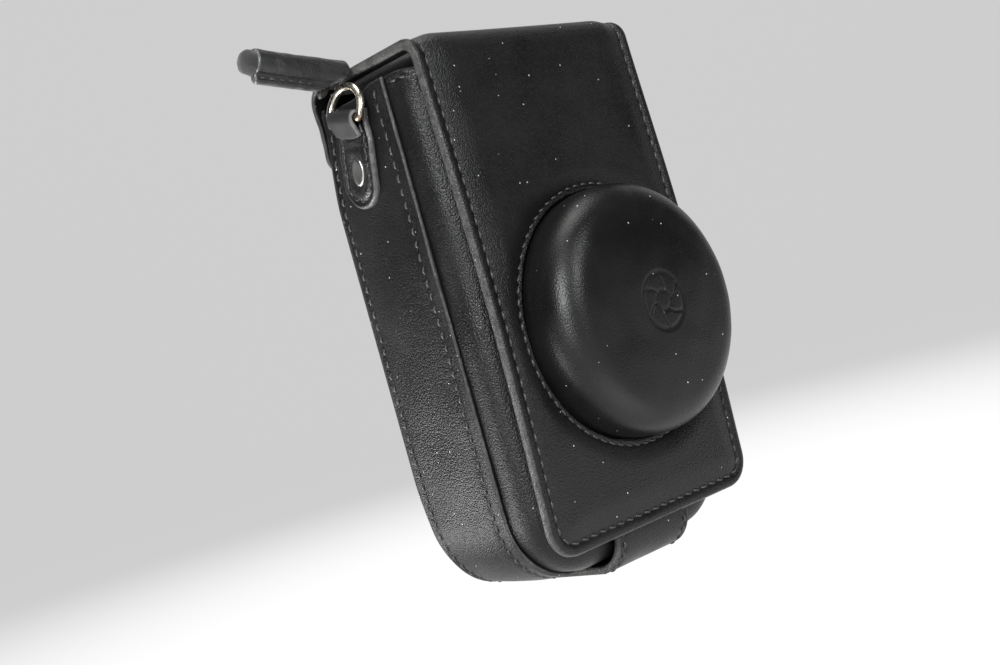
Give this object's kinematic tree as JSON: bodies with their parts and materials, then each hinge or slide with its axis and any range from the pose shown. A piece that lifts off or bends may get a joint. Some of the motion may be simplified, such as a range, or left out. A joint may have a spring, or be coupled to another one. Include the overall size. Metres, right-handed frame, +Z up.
{
  "type": "leather camera case",
  "caption": "Upright leather ever ready case with a hinged flap, moulded lens dome, magnetic closure tongue, side strap rings, rolled pull and belt loop.",
  "frame": {"origin": "on the surface the case stands on, under the middle of the pouch", "axes": "+Z up along the height, -Y out of the front with the lens dome, +X to the right seen from the front"},
  "size_m": [0.1013, 0.0633, 0.1334],
  "materials": {
    "leather": "smooth fine-grained satin",
    "pull_leather": "soft glossy",
    "lining": "matte",
    "stiffener_board": "matte fibreboard",
    "dome_former": "matte",
    "pull_core": "matte",
    "ring_metal": "warm nickel, slightly tarnished",
    "rivet_metal": "satin",
    "magnet": "plated"
  },
  "bodies": {
    "case_body": {"back_cover": "leather", "back_board": "stiffener_board", "back_lining": "lining", "gusset_cover": "leather", "gusset_stiffener": "stiffener_board", "gusset_lining": "lining", "front_cover": "leather", "front_board": "stiffener_board", "front_lining": "lining", "bottom_pad": "lining", "closure_strap": "leather", "belt_loop": "leather", "left_ring_tab": "leather", "left_ring_loop": "leather", "left_ring_rivet": "rivet_metal", "right_ring_tab": "leather", "right_ring_loop": "leather", "right_ring_rivet": "rivet_metal"},
    "flap": {"flap_cover": "leather", "flap_hem": "leather", "flap_upper_board": "stiffener_board", "flap_lower_board": "stiffener_board", "flap_top_board": "stiffener_board", "flap_lining": "lining", "flap_magnet": "magnet", "dome_cover": "leather", "dome_former": "dome_former", "dome_lining": "lining", "pull_anchor": "pull_leather"},
    "closure_tongue": {"tongue_outer": "leather", "tongue_lining": "lining", "tongue_magnet": "magnet"},
    "left_ring": {"left_strap_ring": "ring_metal"},
    "right_ring": {"right_strap_ring": "ring_metal"},
    "pull": {"pull_tongue": "pull_leather", "pull_sleeve": "pull_leather", "pull_core": "pull_core"}
  },
  "joints": [
    {"name": "flap_hinge", "type": "hinge", "parent": "case_body", "child": "flap", "pos_m": [0, 0.0183, 0.1248], "axis": [-1, 0, 0], "range_deg": [0, 170]},
    {"name": "tongue_bend", "type": "hinge", "parent": "case_body", "child": "closure_tongue", "pos_m": [0, -0.0091, 0.001], "axis": [1, 0, 0], "range_deg": [0, 45]},
    {"name": "left_ring_swing", "type": "hinge", "parent": "case_body", "child": "left_ring", "pos_m": [-0.03765, 0.0052, 0.116], "axis": [0, -0.9744, -0.225], "range_deg": [0, 15]},
    {"name": "right_ring_swing", "type": "hinge", "parent": "case_body", "child": "right_ring", "pos_m": [0.03765, 0.0052, 0.116], "axis": [0, 0.9744, 0.225], "range_deg": [0, 160]},
    {"name": "pull_bend", "type": "hinge", "parent": "flap", "child": "pull", "pos_m": [-0.03448, 0.01, 0.1253], "axis": [0, 1, 0], "range_deg": [0, 12]}
  ],
  "couplings": [
    {"joint": "tongue_bend", "follows": "flap_hinge", "ratio": 0.25}
  ]
}
